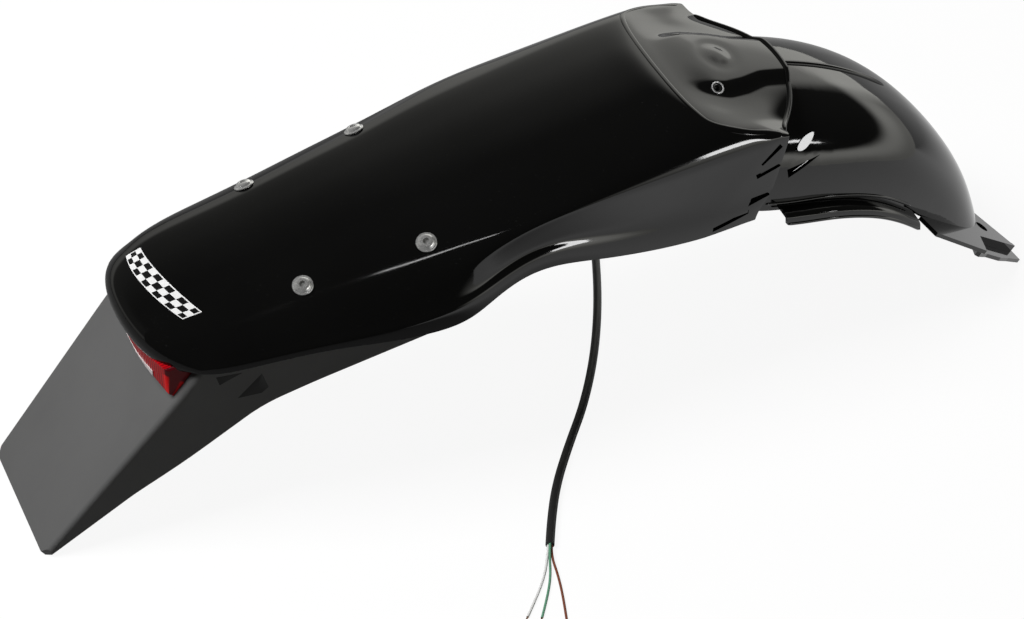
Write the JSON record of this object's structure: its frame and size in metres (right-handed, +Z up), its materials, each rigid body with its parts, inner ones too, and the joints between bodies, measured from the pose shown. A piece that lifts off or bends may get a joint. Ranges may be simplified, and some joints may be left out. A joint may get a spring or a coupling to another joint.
{
  "type": "motorcycle rear fender",
  "caption": "Long moulded rear fender for an off-road motorcycle, with an arched inner mudguard, a sloping plate holder, a red tail lamp and its loose cable.",
  "frame": {"origin": "middle of the footprint on the floor, the loose cable left out", "axes": "+X forward along the machine, +Y to its left, +Z up"},
  "size_m": [0.7312, 0.391, 0.2209],
  "materials": {
    "fender_plastic": "smooth gloss black moulded plastic",
    "mudguard_plastic": "satin to gloss black moulded plastic",
    "holder_plastic": "fine-grained matt black plastic",
    "red_lens": "clear red lens plastic",
    "clear_lens": "clear colourless lens plastic",
    "board": "printed board",
    "light_source": "moulded light sources",
    "zinc_steel": "bright zinc-plated steel",
    "rivet_metal": "turned bright metal",
    "grommet_rubber": "black rubber",
    "cable_plastic": "satin black cable sheath",
    "white_wire": "white insulation",
    "green_wire": "green insulation",
    "brown_wire": "brown insulation",
    "bare_wire": "bare twisted copper"
  },
  "bodies": {
    "root": {"rear_fender": "fender_plastic", "inner_mudguard": "mudguard_plastic", "plate_holder": "holder_plastic", "tail_lens": "red_lens", "plate_lamp_window": "clear_lens", "lamp_board": "board", "cable_grommet": "grommet_rubber", "cable_sheath": "cable_plastic", "wire_white": "white_wire", "wire_green": "green_wire", "wire_brown": "brown_wire", "lamp_led_lower_1": "light_source", "lamp_led_lower_2": "light_source", "lamp_led_lower_3": "light_source", "lamp_led_lower_4": "light_source", "lamp_led_lower_5": "light_source", "lamp_led_lower_6": "light_source", "lamp_led_lower_7": "light_source", "lamp_led_upper_1": "light_source", "lamp_led_upper_2": "light_source", "lamp_led_upper_3": "light_source", "lamp_led_upper_4": "light_source", "lamp_led_upper_5": "light_source", "lamp_led_upper_6": "light_source", "lamp_led_upper_7": "light_source", "fender_screw_rear_right": "zinc_steel", "fender_screw_rear_left": "zinc_steel", "fender_screw_front_right": "zinc_steel", "fender_screw_front_left": "zinc_steel", "fender_nut_rear_right": "zinc_steel", "fender_nut_rear_left": "zinc_steel", "fender_nut_front_right": "zinc_steel", "fender_nut_front_left": "zinc_steel", "joint_rivet_right": "rivet_metal", "joint_rivet_left": "rivet_metal", "wire_white_tip": "bare_wire", "wire_green_tip": "bare_wire", "wire_brown_tip": "bare_wire"}
  },
  "joints": []
}
